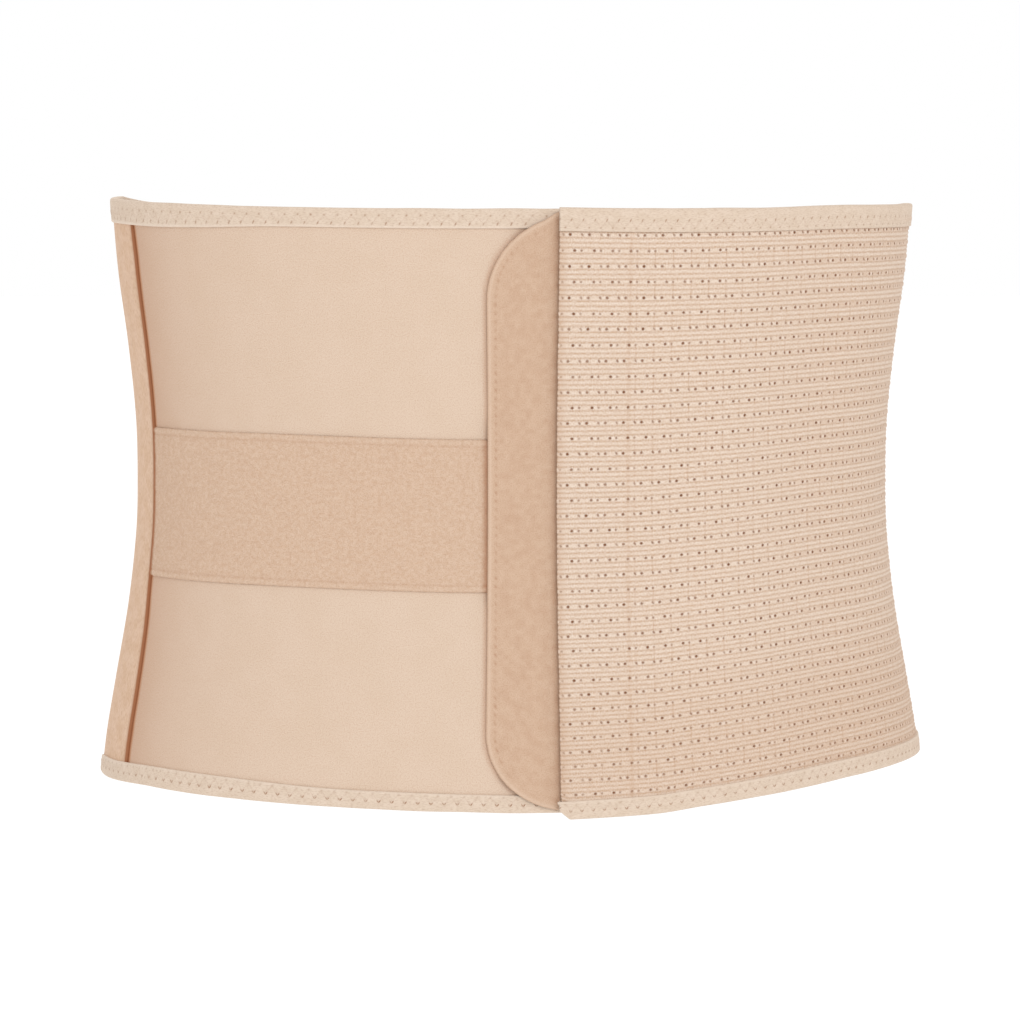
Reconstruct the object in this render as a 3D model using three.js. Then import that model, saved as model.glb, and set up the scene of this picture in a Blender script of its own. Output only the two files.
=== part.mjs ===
// An elastic abdominal binder, closed in the form that it has when it is worn.
//
// The wearer's trunk is a stack of superellipse sections. Each piece of the binder is a sheet that
// follows them: "around" is the distance in millimetres along the waist from the middle of the front,
// positive towards +X, and "offset" is the distance out from the trunk. +Z is up and the front is -Y.
// The origin is in the trunk's axis, at half the binder's height.

import * as THREE from "three";

// Trunk and overall size, in millimetres
const HEIGHT = 240;
const WAIST_WIDTH = 310;
const WAIST_DEPTH = 217;
const SECTION_POWER = 2.3;

// Pieces, as distances along the waist or up the binder
const ELASTIC_EDGE = 17.4;
const UNDERLAP = 50;
const TAB_REACH = 28;
const TAB_SEAM_ALLOWANCE = 28;
const TAB_TOP_RADIUS = 34.5;
const TAB_BOTTOM_RADIUS = 26;
const TAB_TOP_SETBACK = 2.1;
const TAB_BOTTOM_SETBACK = 1.3;
const STRIP_SEAM = 167;
const STRIP_WIDTH = 62;
const BAND_HEIGHT = 61;
const BAND_DROP = 2.6;
const BAND_SETBACK = 1.6;

// Thicknesses of the materials
const PANEL_THICKNESS = 2.0;
const STRIP_THICKNESS = 2.0;
const BAND_THICKNESS = 1.0;
const TAB_THICKNESS = 1.4;
const ELASTIC_THICKNESS = 1.6;
const TAPE_THICKNESS = 1.0;

// How far each folded binding reaches in from its rim
const LEFT_TOP_FOLD = 8;
const LEFT_BOTTOM_FOLD = 7;
const ELASTIC_TOP_FOLD = 9.5;
const ELASTIC_BOTTOM_FOLD = 9;
const FOLD_ROUNDING = 0.8;
const FLAP_OVERHANG = 0.6;
const FLAP_CHAMFER = 3;

// Clearances between layers and where two pieces are sewn edge to edge
const LAYER_GAP = 0.3;
const SEAM_GAP = 0.4;
const SEAM_BEVEL = 1.4;
const SEAM_EDGE_SHARE = 0.45;

// The elastic comes down to the trunk in a smooth ramp behind the left panel's hidden end
const RAMP_START = 5;
const RAMP_LENGTH = 60;

// Mesh steps
const COLUMN_STEP = 10;
const PANEL_ROWS = 12;
const BAND_ROWS = 3;
const CORNER_COLUMNS = 5;
const GIRTH_SAMPLES = 1440;

// Trunk sections, up the height from the binder's bottom, as shares of the waist's width and depth
const TRUNK_SECTIONS = [
  { up: -0.05, width: 1.116, depth: 1.1 },
  { up: 0.0, width: 1.101, depth: 1.085 },
  { up: 0.08, width: 1.085, depth: 1.067 },
  { up: 0.17, width: 1.061, depth: 1.046 },
  { up: 0.3, width: 1.026, depth: 1.022 },
  { up: 0.42, width: 1.005, depth: 1.006 },
  { up: 0.5, width: 1.0, depth: 1.001 },
  { up: 0.62, width: 1.003, depth: 1.003 },
  { up: 0.75, width: 1.0225, depth: 1.011 },
  { up: 0.88, width: 1.049, depth: 1.022 },
  { up: 1.0, width: 1.064, depth: 1.03 },
  { up: 1.05, width: 1.069, depth: 1.032 },
];

// Finished rims, as shares of the height, by shares of the girth from the middle of the front
const LEFT_RIMS = [
  { around: -0.27, top: 0.5065, bottom: -0.493 },
  { around: -0.215, top: 0.5045, bottom: -0.494 },
  { around: -0.175, top: 0.501, bottom: -0.491 },
  { around: -0.14, top: 0.4975, bottom: -0.494 },
  { around: -0.09, top: 0.4955, bottom: -0.501 },
  { around: -0.045, top: 0.4935, bottom: -0.505 },
  { around: 0.0, top: 0.4933, bottom: -0.508 },
  { around: 0.04, top: 0.4933, bottom: -0.507 },
  { around: 0.08, top: 0.4933, bottom: -0.4965 },
];
const ELASTIC_RIMS = [
  { around: 0.02, top: 0.4962, bottom: -0.517 },
  { around: 0.06, top: 0.4942, bottom: -0.508 },
  { around: 0.08, top: 0.494, bottom: -0.498 },
  { around: 0.105, top: 0.4943, bottom: -0.487 },
  { around: 0.13, top: 0.4955, bottom: -0.4775 },
  { around: 0.156, top: 0.4965, bottom: -0.469 },
  { around: 0.2, top: 0.4965, bottom: -0.46 },
  { around: 0.25, top: 0.495, bottom: -0.46 },
  { around: 0.32, top: 0.487, bottom: -0.466 },
  { around: 0.4, top: 0.48, bottom: -0.471 },
  { around: 0.5, top: 0.478, bottom: -0.474 },
  { around: 0.6, top: 0.48, bottom: -0.477 },
  { around: 0.68, top: 0.491, bottom: -0.485 },
  { around: 0.73, top: 0.5065, bottom: -0.493 },
];

const MATERIALS = {
  plushLaminate: new THREE.MeshStandardMaterial({ color: 0xdcc0a6, roughness: 0.95, metalness: 0 }),
  smoothStrip: new THREE.MeshStandardMaterial({ color: 0xd6b598, roughness: 0.85, metalness: 0 }),
  loopPile: new THREE.MeshStandardMaterial({ color: 0xd3b496, roughness: 1, metalness: 0 }),
  brushedTab: new THREE.MeshStandardMaterial({ color: 0xd2b092, roughness: 1, metalness: 0 }),
  ribbedElastic: new THREE.MeshStandardMaterial({ color: 0xe4cbb3, roughness: 0.8, metalness: 0 }),
  bindingTape: new THREE.MeshStandardMaterial({ color: 0xe3ccb6, roughness: 0.75, metalness: 0 }),
};

// Value of a table's column between its rows, on a smooth curve through them
function tableValue(rows, key, column, at) {
  const last = rows.length - 1;
  const place = Math.min(Math.max(at, rows[0][key]), rows[last][key]);
  let i = 0;
  while (i < last - 1 && place > rows[i + 1][key]) {
    i += 1;
  }
  const slope = (k) => {
    const before = rows[Math.max(k - 1, 0)];
    const after = rows[Math.min(k + 1, last)];
    return (after[column] - before[column]) / (after[key] - before[key]);
  };
  const span = rows[i + 1][key] - rows[i][key];
  const t = (place - rows[i][key]) / span;
  const start = rows[i][column];
  const end = rows[i + 1][column];
  const bend = t * (1 - t) * span;
  const ease = t * t * (3 - 2 * t);
  return start + (end - start) * ease + bend * ((1 - t) * slope(i) - t * slope(i + 1));
}

// Point of the trunk's surface at a turn from the front and a height, moved out by an offset
function trunkPoint(turn, z, offset) {
  const up = z / HEIGHT + 0.5;
  const halfWidth = (tableValue(TRUNK_SECTIONS, "up", "width", up) * WAIST_WIDTH) / 2;
  const halfDepth = (tableValue(TRUNK_SECTIONS, "up", "depth", up) * WAIST_DEPTH) / 2;
  const side = Math.sin(turn);
  const front = Math.cos(turn);
  const power = 2 / SECTION_POWER;
  const x = halfWidth * Math.sign(side) * Math.abs(side) ** power;
  const y = -halfDepth * Math.sign(front) * Math.abs(front) ** power;
  const slopeX = (Math.sign(side) * Math.abs(side) ** (2 - power)) / halfWidth;
  const slopeY = (-Math.sign(front) * Math.abs(front) ** (2 - power)) / halfDepth;
  const length = Math.hypot(slopeX, slopeY);
  return [x + (offset * slopeX) / length, y + (offset * slopeY) / length, z];
}

// Distance along the waist at each of many equal turns, for one full turn
function waistLengths() {
  const lengths = [0];
  let last = trunkPoint(0, 0, 0);
  for (let i = 1; i <= GIRTH_SAMPLES; i += 1) {
    const next = trunkPoint((i / GIRTH_SAMPLES) * 2 * Math.PI, 0, 0);
    lengths.push(lengths[i - 1] + Math.hypot(next[0] - last[0], next[1] - last[1]));
    last = next;
  }
  return lengths;
}

const WAIST_LENGTHS = waistLengths();
const GIRTH = WAIST_LENGTHS[GIRTH_SAMPLES];

// Turn from the front at a distance along the waist, either way round
function turnAt(around) {
  const distance = Math.abs(around);
  let low = 0;
  let high = GIRTH_SAMPLES;
  while (high - low > 1) {
    const middle = Math.floor((low + high) / 2);
    if (WAIST_LENGTHS[middle] <= distance) {
      low = middle;
    } else {
      high = middle;
    }
  }
  const step = WAIST_LENGTHS[high] - WAIST_LENGTHS[low];
  const share = (distance - WAIST_LENGTHS[low]) / step;
  return (Math.sign(around) * (low + share) * 2 * Math.PI) / GIRTH_SAMPLES;
}

// Edges along the waist
const STRIP_END = STRIP_SEAM + STRIP_WIDTH;
const PANEL_START = -STRIP_SEAM + SEAM_GAP / 2;
const STRIP_START = -STRIP_END + SEAM_GAP / 2;
const STRIP_STOP = -STRIP_SEAM - SEAM_GAP / 2;
const ELASTIC_STOP = GIRTH - STRIP_END - SEAM_GAP / 2;
const PANEL_STOP = ELASTIC_EDGE + UNDERLAP;
const TAB_START = ELASTIC_EDGE - TAB_REACH;
const TAB_STOP = ELASTIC_EDGE + TAB_SEAM_ALLOWANCE;
const FLAP_END = ELASTIC_EDGE + FLAP_CHAMFER;

// Layers, out from the trunk: each starts one gap above what lies under it
const TAPE_STACK = TAPE_THICKNESS + LAYER_GAP;
const BAND_OFFSET = PANEL_THICKNESS + LAYER_GAP;
const TAB_OFFSET = PANEL_THICKNESS + LAYER_GAP + Math.max(BAND_THICKNESS, TAPE_THICKNESS) + LAYER_GAP;
const ELASTIC_LIFT = TAB_OFFSET + TAB_THICKNESS + LAYER_GAP + TAPE_STACK;

function elasticOffset(around) {
  const t = (around - PANEL_STOP - RAMP_START) / RAMP_LENGTH;
  const share = Math.min(Math.max(t, 0), 1);
  return ELASTIC_LIFT * (1 - share * share * (3 - 2 * share));
}

// Finished rims, and the cut edges of the sheets that the bindings fold over
const leftTop = (around) => HEIGHT * tableValue(LEFT_RIMS, "around", "top", around / GIRTH);
const leftBottom = (around) => HEIGHT * tableValue(LEFT_RIMS, "around", "bottom", around / GIRTH);
const elasticTop = (around) => HEIGHT * tableValue(ELASTIC_RIMS, "around", "top", around / GIRTH);
const elasticBottom = (around) => {
  const chamfer = Math.min(Math.max(FLAP_END - around, 0), FLAP_CHAMFER);
  return HEIGHT * tableValue(ELASTIC_RIMS, "around", "bottom", around / GIRTH) + chamfer;
};
const cutBelow = (rim) => (around) => rim(around) - TAPE_STACK;
const cutAbove = (rim) => (around) => rim(around) + TAPE_STACK;

// Columns of a mesh: its two ends, the shared steps between them and any extra ones
function columnsBetween(start, stop, extra = []) {
  const columns = [start, ...extra, stop];
  const clear = COLUMN_STEP / 6;
  const first = Math.ceil(start / COLUMN_STEP);
  for (let i = first; i * COLUMN_STEP < stop; i += 1) {
    const column = i * COLUMN_STEP;
    if (columns.every((other) => Math.abs(other - column) > clear)) {
      columns.push(column);
    }
  }
  return columns.sort((a, b) => a - b);
}

// Geometry from vertices and faces, turned so that the faces point out
function closedGeometry(points, faces) {
  let volume = 0;
  for (const [a, b, c] of faces) {
    const [p, q, r] = [points[a], points[b], points[c]];
    volume += p[0] * (q[1] * r[2] - q[2] * r[1]);
    volume += p[1] * (q[2] * r[0] - q[0] * r[2]);
    volume += p[2] * (q[0] * r[1] - q[1] * r[0]);
  }
  const outward = volume > 0 ? faces : faces.map(([a, b, c]) => [a, c, b]);
  const geometry = new THREE.BufferGeometry();
  geometry.setAttribute("position", new THREE.Float32BufferAttribute(points.flat(), 3));
  geometry.setIndex(outward.flat());
  geometry.computeVertexNormals();
  return geometry;
}

// A closed loop of points carried from column to column, with a cap on each end
function sweptSolid(columns, loopAt, cap) {
  const loops = columns.map(loopAt);
  const count = loops[0].length;
  const points = loops.flat();
  const faces = [];
  for (let i = 0; i + 1 < loops.length; i += 1) {
    for (let j = 0; j < count; j += 1) {
      const a = i * count + j;
      const b = i * count + ((j + 1) % count);
      faces.push([a, b, b + count], [a, b + count, a + count]);
    }
  }
  const lastLoop = (loops.length - 1) * count;
  for (const [a, b, c] of cap) {
    faces.push([a, c, b], [lastLoop + a, lastLoop + b, lastLoop + c]);
  }
  return closedGeometry(points, faces);
}

// A sheet between two heights and two offsets, with rows shared out evenly over its height
function sheetSolid({ columns, rows, low, high, offset, thickness }) {
  const loopAt = (around) => {
    const turn = turnAt(around);
    const base = offset(around);
    const bottom = low(around);
    const top = high(around);
    const face = (row, out) => trunkPoint(turn, bottom + ((top - bottom) * row) / rows, out);
    const loop = [];
    for (let row = 0; row <= rows; row += 1) {
      loop.push(face(row, base + thickness(around)));
    }
    for (let row = rows; row >= 0; row -= 1) {
      loop.push(face(row, base));
    }
    return loop;
  };
  const cap = [];
  const last = 2 * rows + 1;
  for (let row = 0; row < rows; row += 1) {
    cap.push([row, row + 1, last - row - 1], [row, last - row - 1, last - row]);
  }
  return sweptSolid(columns, loopAt, cap);
}

// Whether a triangle of a closed outline turns the same way as the outline does
function turnsWithLoop(outline, a, b, c) {
  const triangle = THREE.ShapeUtils.area([outline[a], outline[b], outline[c]]);
  return triangle > 0 === THREE.ShapeUtils.area(outline) > 0;
}

// A tape folded over a sheet's edge. The way in from the rim is -1 at a top edge and 1 at a bottom one
function bindingSolid({ columns, rim, wayIn, fold, offset, thickness }) {
  const profile = (base) => {
    const faceIn = base - LAYER_GAP;
    const faceOut = base + thickness + LAYER_GAP;
    const skinIn = faceIn - TAPE_THICKNESS;
    const skinOut = faceOut + TAPE_THICKNESS;
    return [
      [skinOut, fold],
      [skinOut, FOLD_ROUNDING],
      [skinOut - FOLD_ROUNDING, 0],
      [skinIn + FOLD_ROUNDING, 0],
      [skinIn, FOLD_ROUNDING],
      [skinIn, fold],
      [faceIn, fold],
      [faceIn, TAPE_THICKNESS],
      [faceOut, TAPE_THICKNESS],
      [faceOut, fold],
    ];
  };
  const loopAt = (around) => {
    const turn = turnAt(around);
    const edge = rim(around);
    return profile(offset(around)).map(([out, inward]) => trunkPoint(turn, edge + wayIn * inward, out));
  };
  const outline = profile(offset(columns[0])).map(([out, inward]) => new THREE.Vector2(out, inward));
  const triangles = THREE.ShapeUtils.triangulateShape(outline, []);
  const cap = triangles.map(([a, b, c]) => (turnsWithLoop(outline, a, b, c) ? [a, b, c] : [a, c, b]));
  return sweptSolid(columns, loopAt, cap);
}

// Thickness that falls off in a bevel towards sewn edges
function beveled(full, seams) {
  return (around) => {
    const near = Math.min(...seams.map((seam) => Math.abs(around - seam)));
    const share = Math.min(near / SEAM_BEVEL, 1);
    return full * (SEAM_EDGE_SHARE + (1 - SEAM_EDGE_SHARE) * share);
  };
}

function leftFrontPanel() {
  return sheetSolid({
    columns: columnsBetween(PANEL_START, PANEL_STOP, [PANEL_START + SEAM_BEVEL]),
    rows: PANEL_ROWS,
    low: cutAbove(leftBottom),
    high: cutBelow(leftTop),
    offset: () => 0,
    thickness: beveled(PANEL_THICKNESS, [PANEL_START]),
  });
}

function sideStrip() {
  return sheetSolid({
    columns: columnsBetween(STRIP_START, STRIP_STOP, [STRIP_START + SEAM_BEVEL, STRIP_STOP - SEAM_BEVEL]),
    rows: PANEL_ROWS,
    low: cutAbove(leftBottom),
    high: cutBelow(leftTop),
    offset: () => 0,
    thickness: beveled(STRIP_THICKNESS, [STRIP_START, STRIP_STOP]),
  });
}

function loopBand() {
  return sheetSolid({
    columns: columnsBetween(PANEL_START + BAND_SETBACK, TAB_STOP),
    rows: BAND_ROWS,
    low: () => -BAND_DROP - BAND_HEIGHT / 2,
    high: () => -BAND_DROP + BAND_HEIGHT / 2,
    offset: () => BAND_OFFSET,
    thickness: () => BAND_THICKNESS,
  });
}

// How far a rounded corner of the tab cuts in from its straight top or bottom edge
function cornerCut(around, radius) {
  const run = Math.min(Math.max(TAB_START + radius - around, 0), radius);
  return radius - Math.sqrt(radius ** 2 - run ** 2);
}

function closureTab() {
  const corners = [];
  const radius = Math.max(TAB_TOP_RADIUS, TAB_BOTTOM_RADIUS);
  for (let i = 1; i <= CORNER_COLUMNS; i += 1) {
    const quarter = (i / CORNER_COLUMNS) * (Math.PI / 2);
    corners.push(TAB_START + radius * (1 - Math.cos(quarter)));
  }
  return sheetSolid({
    columns: columnsBetween(TAB_START, TAB_STOP, corners.filter((column) => column < TAB_STOP)),
    rows: PANEL_ROWS,
    low: (around) => leftBottom(around) + TAB_BOTTOM_SETBACK + cornerCut(around, TAB_BOTTOM_RADIUS),
    high: (around) => leftTop(around) - TAB_TOP_SETBACK - cornerCut(around, TAB_TOP_RADIUS),
    offset: () => TAB_OFFSET,
    thickness: () => TAB_THICKNESS,
  });
}

function elasticPanel() {
  return sheetSolid({
    columns: columnsBetween(ELASTIC_EDGE, ELASTIC_STOP, [FLAP_END, ELASTIC_STOP - SEAM_BEVEL]),
    rows: PANEL_ROWS,
    low: cutAbove(elasticBottom),
    high: cutBelow(elasticTop),
    offset: elasticOffset,
    thickness: beveled(ELASTIC_THICKNESS, [ELASTIC_STOP]),
  });
}

function leftBinding(rim, wayIn, fold) {
  return bindingSolid({
    columns: columnsBetween(STRIP_START, PANEL_STOP),
    rim,
    wayIn,
    fold,
    offset: () => 0,
    thickness: Math.max(PANEL_THICKNESS, STRIP_THICKNESS),
  });
}

function elasticBinding(start, rim, wayIn, fold) {
  return bindingSolid({
    columns: columnsBetween(start, ELASTIC_STOP, [FLAP_END]),
    rim,
    wayIn,
    fold,
    offset: elasticOffset,
    thickness: ELASTIC_THICKNESS,
  });
}

function piece(name, geometry, material) {
  const mesh = new THREE.Mesh(geometry, material);
  mesh.name = name;
  return mesh;
}

const leftSide = new THREE.Group();
leftSide.add(
  piece("left_front_panel", leftFrontPanel(), MATERIALS.plushLaminate),
  piece("side_strip", sideStrip(), MATERIALS.smoothStrip),
  piece("loop_band", loopBand(), MATERIALS.loopPile),
  piece("left_top_binding", leftBinding(leftTop, -1, LEFT_TOP_FOLD), MATERIALS.bindingTape),
  piece("left_bottom_binding", leftBinding(leftBottom, 1, LEFT_BOTTOM_FOLD), MATERIALS.bindingTape),
);

const elasticSide = new THREE.Group();
elasticSide.add(
  piece("closure_tab", closureTab(), MATERIALS.brushedTab),
  piece("elastic_panel", elasticPanel(), MATERIALS.ribbedElastic),
  piece(
    "elastic_top_binding",
    elasticBinding(ELASTIC_EDGE, elasticTop, -1, ELASTIC_TOP_FOLD),
    MATERIALS.bindingTape,
  ),
  piece(
    "elastic_bottom_binding",
    elasticBinding(ELASTIC_EDGE - FLAP_OVERHANG, elasticBottom, 1, ELASTIC_BOTTOM_FOLD),
    MATERIALS.bindingTape,
  ),
);

const binder = new THREE.Group();
binder.add(leftSide, elasticSide);

export default binder;
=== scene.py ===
"""Looks of an elastic abdominal binder, closed in the form that it has when it is worn.

Sizes are in millimetres, as in the part's source, and become metres where a mesh is made. "around" is the
distance along the waist from the middle of the front, positive towards +X, "out" the distance out from the
form that the sheets follow, and heights are measured up from the binder's middle. The front is -Y.
"""

import math

import bpy
import numpy as np
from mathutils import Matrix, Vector
from mathutils.geometry import tessellate_polygon


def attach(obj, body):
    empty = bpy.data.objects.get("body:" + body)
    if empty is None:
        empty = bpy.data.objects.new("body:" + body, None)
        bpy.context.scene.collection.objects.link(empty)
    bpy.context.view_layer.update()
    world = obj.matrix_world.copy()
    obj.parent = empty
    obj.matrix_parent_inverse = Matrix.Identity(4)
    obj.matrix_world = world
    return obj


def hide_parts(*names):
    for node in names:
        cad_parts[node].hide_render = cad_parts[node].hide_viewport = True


MM = 0.001

# Camera, in metres, degrees and the lens's millimetres
CAMERA_PLACE = (-0.0008, -2.071, 0.150)
CAMERA_PITCH = 4.42
CAMERA_LENS = 174.2
CAMERA_SENSOR = 36.0
# The floor's height and radius, in metres
FLOOR_LEVEL = -0.9
FLOOR_RADIUS = 29.0

# Form and pieces, as in the part's source
HEIGHT = 240.0
WAIST_WIDTH = 310.0
WAIST_DEPTH = 217.0
SECTION_POWER = 2.3
ELASTIC_EDGE = 17.4
UNDERLAP = 50.0
TAB_REACH = 28.0
TAB_SEAM_ALLOWANCE = 28.0
TAB_TOP_RADIUS = 34.5
TAB_TOP_SETBACK = 2.1
TAB_BOTTOM_SETBACK = 1.3
STRIP_SEAM = 167.0
STRIP_WIDTH = 62.0
BAND_HEIGHT = 61.0
BAND_DROP = 2.6
BAND_SETBACK = 1.6
PANEL_THICKNESS = 2.0
STRIP_THICKNESS = 2.0
BAND_THICKNESS = 1.0
TAB_THICKNESS = 1.4
ELASTIC_THICKNESS = 1.6
TAPE_THICKNESS = 1.0
LEFT_TOP_FOLD = 8.0
LEFT_BOTTOM_FOLD = 7.0
ELASTIC_TOP_FOLD = 9.5
FLAP_OVERHANG = 0.6
FLAP_CHAMFER = 3.0
LAYER_GAP = 0.3
SEAM_GAP = 0.4
SEAM_BEVEL = 1.4
RAMP_START = 5.0
RAMP_LENGTH = 60.0
GIRTH_SAMPLES = 1440

# Softer or finer here than in the part's source: the tab's outline and the rise of its top beside the
# elastic, the band's sag, the lower tape of the elastic, and the tapes' own thickness and play
TAB_BOTTOM_RADIUS = 30.0
TAB_INSET = 1.0
TAB_TOP_RISE = 1.6
BAND_SAG = 1.4
ELASTIC_BOTTOM_FOLD = 7.4
TAPE_SKIN = 0.75
TAPE_CLEARANCE = 0.12
# How deep the edges of the band, the tab and the tapes are pressed into the cloth below
BAND_SINK = 0.1
TAB_SINK = 0.35
TAPE_SINK = 0.25

# Sections of the form, up the height from the binder's bottom, as shares of the waist's width and depth
FORM_SECTIONS = {
    "up": (-0.05, 0.0, 0.08, 0.17, 0.3, 0.42, 0.5, 0.62, 0.75, 0.88, 1.0, 1.05),
    "width": (1.116, 1.101, 1.085, 1.061, 1.026, 1.005, 1.0, 1.003, 1.0225, 1.049, 1.064, 1.069),
    "depth": (1.1, 1.085, 1.067, 1.046, 1.022, 1.006, 1.001, 1.003, 1.011, 1.022, 1.03, 1.032),
}

# Finished rims, as shares of the height, by shares of the girth from the middle of the front
LEFT_RIMS = {
    "around": (-0.27, -0.215, -0.175, -0.14, -0.09, -0.045, 0.0, 0.04, 0.08),
    "top": (0.5065, 0.5045, 0.501, 0.4975, 0.4955, 0.4935, 0.4933, 0.4933, 0.4933),
    "bottom": (-0.493, -0.494, -0.491, -0.494, -0.501, -0.505, -0.508, -0.507, -0.4965),
}
ELASTIC_RIMS = {
    "around": (0.02, 0.06, 0.08, 0.105, 0.13, 0.156, 0.2, 0.25, 0.32, 0.4, 0.5, 0.6, 0.68, 0.73),
    "top": (
        0.4962, 0.4942, 0.494, 0.4943, 0.4955, 0.4965, 0.4965,
        0.495, 0.487, 0.48, 0.478, 0.48, 0.491, 0.5065,
    ),
    "bottom": (
        -0.517, -0.508, -0.498, -0.487, -0.4775, -0.469, -0.46, -0.46,
        -0.466, -0.471, -0.474, -0.477, -0.485, -0.493,
    ),
}

# Drift of the side seam towards the front, in mm, up the height from the binder's bottom
SEAM_DRIFT = {
    "up": (0.0, 0.11, 0.18, 0.26, 0.35, 0.5, 0.76, 0.9, 0.96, 1.0),
    "drift": (4.3, 4.3, 4.2, 3.2, 1.5, 1.6, 2.2, 2.6, 1.5, 1.2),
}
SEAM_DRIFT_REACH = 30.0

# Eyelet rows of the elastic, in row pitches down from its top rim, and their places in shares of its height
ROWS_HIGH = 40.5
ROW_PITCH = HEIGHT / ROWS_HIGH
FIRST_EYELETS = 1.77
ROW_PLACES = {
    "down": (0.0, 1.77, 11.77, 20.77, 29.77, 38.77, 40.5),
    "share": (0.0, 0.0445, 0.302, 0.5292, 0.75, 0.96, 1.0),
}
# Mesh rows of one row pitch, down from an eyelet row: their place, and 1 on a rib or 0 in a groove
RIB_ROWS = {
    "place": (0.0, 0.09, 0.19, 0.345, 0.5, 0.655, 0.81, 0.91),
    "rib": (1.0, 1.0, 0.0, 1.0, 0.0, 1.0, 0.0, 1.0),
}
RIB_DEPTH = 0.3
GROOVE_SPACING = 0.31
# Eyelet pairs along the elastic, in mm from its edge and then from each pair's first place
PAIR_PITCH = 7.0
FIRST_PAIR = 5.8
EDGE_STRETCH = 0.8
PAIR_COLUMNS = (-0.6, 0.0, 0.6, 1.25, 1.9, 2.5, 3.1, 3.9, 4.6, 5.2, 5.8)
# Eyelets of one pair pitch: in even (0) or odd (1) rows, their place, half sizes, lean and darkness
EYELETS = {
    "row": (1, 1, 0, 0),
    "place": (0.0, 2.45, 2.6, 5.2),
    "wide": (0.62, 0.5, 0.5, 0.64),
    "tall": (0.6, 0.55, 0.68, 0.62),
    "lean": (0.0, 0.0, 0.35, 0.0),
    "dark": (1.0, 0.68, 0.75, 1.0),
}
EYELET_DEPTH = 0.55
# Raised stitches between the two eyelets of a pair
KNOTS = {"row": (1, 0), "place": (1.22, 3.9)}
KNOT_HEIGHT = 0.14
# Fine slits from an odd row down to the next even one, beyond the seam that holds the tab
SLIT_PLACE = 2.52
STITCHED_IN = 27.6

# By which share the folds of the left tapes are wider or narrower, by place along the waist in mm
LEFT_TOP_WIDTHS = {"around": (-260.0, -150.0, -120.0, -90.0, 100.0), "share": (1.24, 1.24, 1.12, 1.0, 1.0)}
LEFT_BOTTOM_WIDTHS = {
    "around": (-260.0, -216.0, -203.0, -190.0, -110.0, -60.0, 100.0),
    "share": (0.65, 0.68, 0.95, 1.12, 1.2, 1.05, 1.0),
}
EVEN_WIDTHS = {"around": (-1000.0, 0.0, 1000.0), "share": (1.0, 1.0, 1.0)}
# The flap's tape sticks out a little past the elastic's edge, at its lip
FLAP_CURL = 0.9

# Marks of the stitches on the tapes, painted shade where the thread dives into the needle holes: 0 in the
# upper row or 0.5 in the lower, which is half a stitch on, then each mark's shift along, half width and
# half height in mm, its lean, and how dark it is
SLANTED_UP_MARKS = ((0.0, 0.0, 0.3, 0.85, 0.42, 0.55), (0.5, 0.0, 0.42, 0.42, 0.0, 0.4))
SLANTED_DOWN_MARKS = ((0.0, 0.0, 0.3, 0.85, -0.42, 0.6), (0.5, 0.0, 0.42, 0.42, 0.0, 0.38))
VEE_MARKS = (
    (0.0, -0.4, 0.28, 0.75, -0.5, 0.65),
    (0.0, 0.4, 0.3, 0.75, 0.5, 0.85),
    (0.5, 0.0, 0.4, 0.4, 0.0, 0.14),
)
# The marks' pitch, and the distance between their rows, in the shader
STITCH_PITCH = 4.8
STITCH_ROWS = 3.0
# Threads of the stitches, in mm, and the mesh columns of the tapes
THREAD_RADIUS = 0.12
THREAD_SIDES = 6
THREAD_STEPS = 5
COLUMNS_PER_STITCH = 6
HALF_STITCH = COLUMNS_PER_STITCH // 2
NEEDLE_DIMPLE = 0.18
# Stands in the tapes' weave attribute for a place that is far from their stitches and their lip
FAR = 9.0
# The tab's area as a share of its width times its height, which its round corners lessen
TAB_AREA_SHARE = 0.95
# The tab's stitches: their pitch, and how far in from its edge they run
TAB_STITCH_PITCH = 3.4
TAB_STITCH_LINE = 3.3


def table_value(rows, column, at):
    """Value of a table's column at a place of its first column, on a smooth curve through the rows."""
    place = np.array(next(iter(rows.values())))
    value = np.array(rows[column])
    slope = np.empty_like(value)
    slope[1:-1] = (value[2:] - value[:-2]) / (place[2:] - place[:-2])
    slope[0] = (value[1] - value[0]) / (place[1] - place[0])
    slope[-1] = (value[-1] - value[-2]) / (place[-1] - place[-2])
    at = np.clip(at, place[0], place[-1])
    low = np.clip(np.searchsorted(place, at) - 1, 0, len(place) - 2)
    span = place[low + 1] - place[low]
    t = (at - place[low]) / span
    ease = t * t * (3 - 2 * t)
    bend = t * (1 - t) * span * ((1 - t) * slope[low] - t * slope[low + 1])
    return value[low] + (value[low + 1] - value[low]) * ease + bend


def bell(t):
    """1 at 0, and falling off smoothly on both sides."""
    return np.exp(-(t**2))


def section_point(turn, height, out):
    """x and y in mm at a turn from the front, a height and a distance out from the form."""
    up = height / HEIGHT + 0.5
    half_width = table_value(FORM_SECTIONS, "width", up) * WAIST_WIDTH / 2
    half_depth = table_value(FORM_SECTIONS, "depth", up) * WAIST_DEPTH / 2
    side = np.sin(turn)
    front = np.cos(turn)
    power = 2 / SECTION_POWER
    slope_x = np.sign(side) * np.abs(side) ** (2 - power) / half_width
    slope_y = -np.sign(front) * np.abs(front) ** (2 - power) / half_depth
    length = np.hypot(slope_x, slope_y)
    x = half_width * np.sign(side) * np.abs(side) ** power + out * slope_x / length
    y = -half_depth * np.sign(front) * np.abs(front) ** power + out * slope_y / length
    return x, y


TURNS = np.linspace(0, 2 * math.pi, GIRTH_SAMPLES + 1)
WAIST_X, WAIST_Y = section_point(TURNS, np.zeros_like(TURNS), 0.0)
WAIST_LENGTHS = np.concatenate([[0.0], np.cumsum(np.hypot(np.diff(WAIST_X), np.diff(WAIST_Y)))])
GIRTH = WAIST_LENGTHS[-1]


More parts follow.
